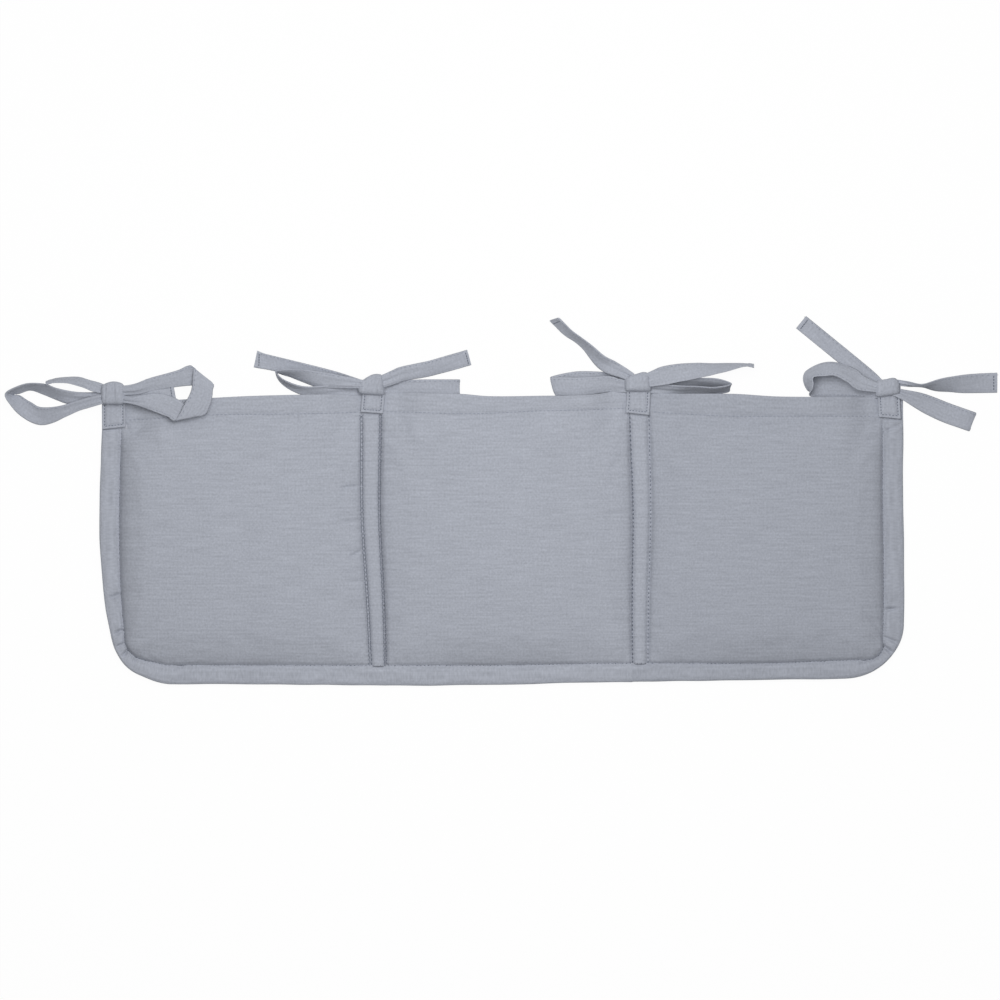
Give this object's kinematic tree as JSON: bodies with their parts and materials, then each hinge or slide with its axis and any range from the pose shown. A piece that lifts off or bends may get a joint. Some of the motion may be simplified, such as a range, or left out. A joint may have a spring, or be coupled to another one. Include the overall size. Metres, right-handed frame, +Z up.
{
  "type": "bedside caddy",
  "caption": "Wide, low padded cotton caddy with side-by-side pockets, bound edges and tie bows along the top that tie it to a bed rail.",
  "frame": {"origin": "under the middle of the body, on the flat back where it lies on a surface", "axes": "+X along the body to the right pocket, +Y to the pocket mouths and ties, +Z up out of the padded front"},
  "size_m": [0.7406, 0.2749, 0.0273],
  "materials": {
    "cotton_cover": "matte",
    "cotton_lining": "matte",
    "wadding": "matte",
    "cotton_tape": "matte"
  },
  "bodies": {
    "centre_section": {"centre_back_cover": "cotton_cover", "centre_back_wadding": "wadding", "centre_back_lining": "cotton_lining", "centre_front_lining": "cotton_lining", "centre_front_wadding": "wadding", "centre_front_cover": "cotton_cover", "centre_front_hem": "cotton_cover", "centre_back_hem": "cotton_cover", "centre_binding": "cotton_tape", "left_divider": "cotton_cover", "right_divider": "cotton_cover", "tie_2_front_tab": "cotton_tape", "tie_2_back_tab": "cotton_tape", "tie_2_knot": "cotton_tape", "tie_3_front_tab": "cotton_tape", "tie_3_back_tab": "cotton_tape", "tie_3_knot": "cotton_tape"},
    "left_section": {"left_back_cover": "cotton_cover", "left_back_wadding": "wadding", "left_back_lining": "cotton_lining", "left_front_lining": "cotton_lining", "left_front_wadding": "wadding", "left_front_cover": "cotton_cover", "left_front_hem": "cotton_cover", "left_back_hem": "cotton_cover", "left_binding": "cotton_tape", "tie_1_front_tab": "cotton_tape", "tie_1_back_tab": "cotton_tape", "tie_1_knot": "cotton_tape"},
    "right_section": {"right_back_cover": "cotton_cover", "right_back_wadding": "wadding", "right_back_lining": "cotton_lining", "right_front_lining": "cotton_lining", "right_front_wadding": "wadding", "right_front_cover": "cotton_cover", "right_front_hem": "cotton_cover", "right_back_hem": "cotton_cover", "right_binding": "cotton_tape", "tie_4_front_tab": "cotton_tape", "tie_4_back_tab": "cotton_tape", "tie_4_knot": "cotton_tape"},
    "tie_1_left_side": {"tie_1_left_loop": "cotton_tape", "tie_1_left_tail": "cotton_tape"},
    "tie_1_right_side": {"tie_1_right_loop": "cotton_tape", "tie_1_right_tail": "cotton_tape"},
    "tie_2_left_side": {"tie_2_left_loop": "cotton_tape", "tie_2_left_tail": "cotton_tape"},
    "tie_2_right_side": {"tie_2_right_loop": "cotton_tape", "tie_2_right_tail": "cotton_tape"},
    "tie_3_left_side": {"tie_3_left_loop": "cotton_tape", "tie_3_left_tail": "cotton_tape"},
    "tie_3_right_side": {"tie_3_right_loop": "cotton_tape", "tie_3_right_tail": "cotton_tape"},
    "tie_4_left_side": {"tie_4_left_loop": "cotton_tape", "tie_4_left_tail": "cotton_tape"},
    "tie_4_right_side": {"tie_4_right_loop": "cotton_tape", "tie_4_right_tail": "cotton_tape"}
  },
  "joints": [
    {"name": "left_fold", "type": "hinge", "parent": "centre_section", "child": "left_section", "pos_m": [-0.10218, 0, 0.0053], "axis": [-0.0342, 0.9994, 0], "range_deg": [0, 90]},
    {"name": "right_fold", "type": "hinge", "parent": "centre_section", "child": "right_section", "pos_m": [0.11077, 0, 0.0053], "axis": [-0.0026, -1, 0], "range_deg": [0, 90]},
    {"name": "tie_1_left_lift", "type": "hinge", "parent": "left_section", "child": "tie_1_left_side", "pos_m": [-0.2999, 0.1094, 0.0124], "axis": [0, 1, 0], "range_deg": [0, 60]},
    {"name": "tie_1_right_lift", "type": "hinge", "parent": "left_section", "child": "tie_1_right_side", "pos_m": [-0.2813, 0.1094, 0.0135], "axis": [0, -1, 0], "range_deg": [0, 60]},
    {"name": "tie_2_left_lift", "type": "hinge", "parent": "centre_section", "child": "tie_2_left_side", "pos_m": [-0.1065, 0.1168, 0.0119], "axis": [0, 1, 0], "range_deg": [0, 60]},
    {"name": "tie_2_right_lift", "type": "hinge", "parent": "centre_section", "child": "tie_2_right_side", "pos_m": [-0.0879, 0.1168, 0.0099], "axis": [0, -1, 0], "range_deg": [0, 60]},
    {"name": "tie_3_left_lift", "type": "hinge", "parent": "centre_section", "child": "tie_3_left_side", "pos_m": [0.0931, 0.1182, 0.0099], "axis": [0, 1, 0], "range_deg": [0, 60]},
    {"name": "tie_3_right_lift", "type": "hinge", "parent": "centre_section", "child": "tie_3_right_side", "pos_m": [0.1117, 0.1182, 0.0103], "axis": [0, -1, 0], "range_deg": [0, 60]},
    {"name": "tie_4_left_lift", "type": "hinge", "parent": "right_section", "child": "tie_4_left_side", "pos_m": [0.279, 0.1148, 0.0113], "axis": [0, 1, 0], "range_deg": [0, 60]},
    {"name": "tie_4_right_lift", "type": "hinge", "parent": "right_section", "child": "tie_4_right_side", "pos_m": [0.297, 0.1148, 0.0097], "axis": [0, -1, 0], "range_deg": [0, 60]}
  ]
}
